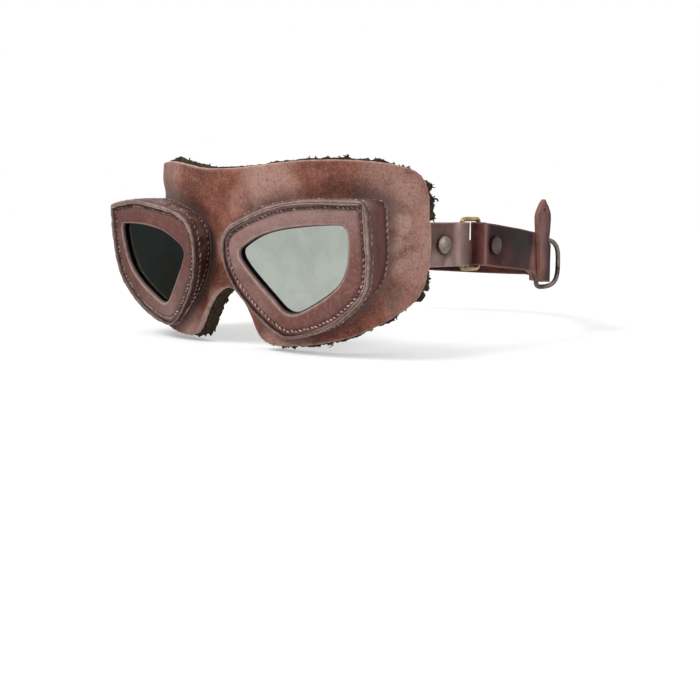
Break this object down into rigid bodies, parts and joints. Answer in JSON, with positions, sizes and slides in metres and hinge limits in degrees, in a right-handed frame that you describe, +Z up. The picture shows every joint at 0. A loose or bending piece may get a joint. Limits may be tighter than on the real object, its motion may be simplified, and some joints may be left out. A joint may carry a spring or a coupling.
{
  "type": "pilot goggles",
  "caption": "Leather goggles with lined face mask, glazed eye cups, riveted tabs, square side rings and a head strap threaded through a D ring.",
  "frame": {"origin": "middle of the strap loop at the height of the strap's line, as worn", "axes": "+Z up, -Y the way the wearer looks, +X the wearer's left"},
  "size_m": [0.1634, 0.2016, 0.0793],
  "materials": {
    "mask_leather": "worn russet leather, mottled, burnished dark round the cups, light cut edges",
    "cup_leather": "dark oxblood leather with light cut edges",
    "bezel_leather": "pinkish brown worn leather with stitched rims",
    "strap_leather": "dark oxblood strap leather, rubbed lighter along the edges",
    "fleece": "near-black brown clipped fleece",
    "gasket_felt": "dark felt ring",
    "lens_glass": "clear grey-green glass over a dark cup",
    "rivet_metal": "worn pewter-coloured domes with dark rims",
    "ring_brass": "antique brass wire",
    "dark_bronze": "dark tarnished bronze wire",
    "stitching": "waxed tan thread"
  },
  "bodies": {
    "goggle_front": {"face_mask": "mask_leather", "fleece_lining": "fleece", "left_cup_wall": "cup_leather", "left_bezel": "bezel_leather", "left_lens": "lens_glass", "left_lens_gasket": "gasket_felt", "right_cup_wall": "cup_leather", "right_bezel": "bezel_leather", "right_lens": "lens_glass", "right_lens_gasket": "gasket_felt", "left_strap_tab": "strap_leather", "left_tab_rivet": "rivet_metal", "left_tab_rivet_back": "rivet_metal", "right_strap_tab": "strap_leather", "right_tab_rivet": "rivet_metal", "right_tab_rivet_back": "rivet_metal"},
    "left_ring": {"left_square_ring": "ring_brass"},
    "left_strap": {"left_rear_strap": "strap_leather", "left_strap_rivet": "rivet_metal", "left_strap_rivet_back": "rivet_metal"},
    "right_ring": {"right_square_ring": "ring_brass"},
    "right_strap": {"right_rear_strap": "strap_leather", "right_strap_rivet": "rivet_metal", "right_strap_rivet_back": "rivet_metal"},
    "back_ring": {"back_ring": "dark_bronze"}
  },
  "joints": [
    {"name": "left_ring_swing", "type": "hinge", "parent": "goggle_front", "child": "left_ring", "pos_m": [0.07637, -0.02239, 0], "axis": [0, 0, 1], "range_deg": [-20, 20]},
    {"name": "left_strap_swing", "type": "hinge", "parent": "left_ring", "child": "left_strap", "pos_m": [0.07703, -0.01121, 0], "axis": [0, 0, 1], "range_deg": [-20, 20]},
    {"name": "right_ring_swing", "type": "hinge", "parent": "goggle_front", "child": "right_ring", "pos_m": [-0.07637, -0.02239, 0], "axis": [0, 0, 1], "range_deg": [-20, 20]},
    {"name": "right_strap_swing", "type": "hinge", "parent": "right_ring", "child": "right_strap", "pos_m": [-0.07703, -0.01121, 0], "axis": [0, 0, 1], "range_deg": [-20, 20]},
    {"name": "back_ring_swing", "type": "hinge", "parent": "left_strap", "child": "back_ring", "pos_m": [0.06765, 0.052, 0], "axis": [0, 0, 1], "range_deg": [-5, 8]}
  ],
  "couplings": [
    {"joint": "left_strap_swing", "follows": "left_ring_swing", "ratio": -1},
    {"joint": "right_ring_swing", "follows": "left_ring_swing", "ratio": 1},
    {"joint": "right_strap_swing", "follows": "left_ring_swing", "ratio": -1}
  ]
}
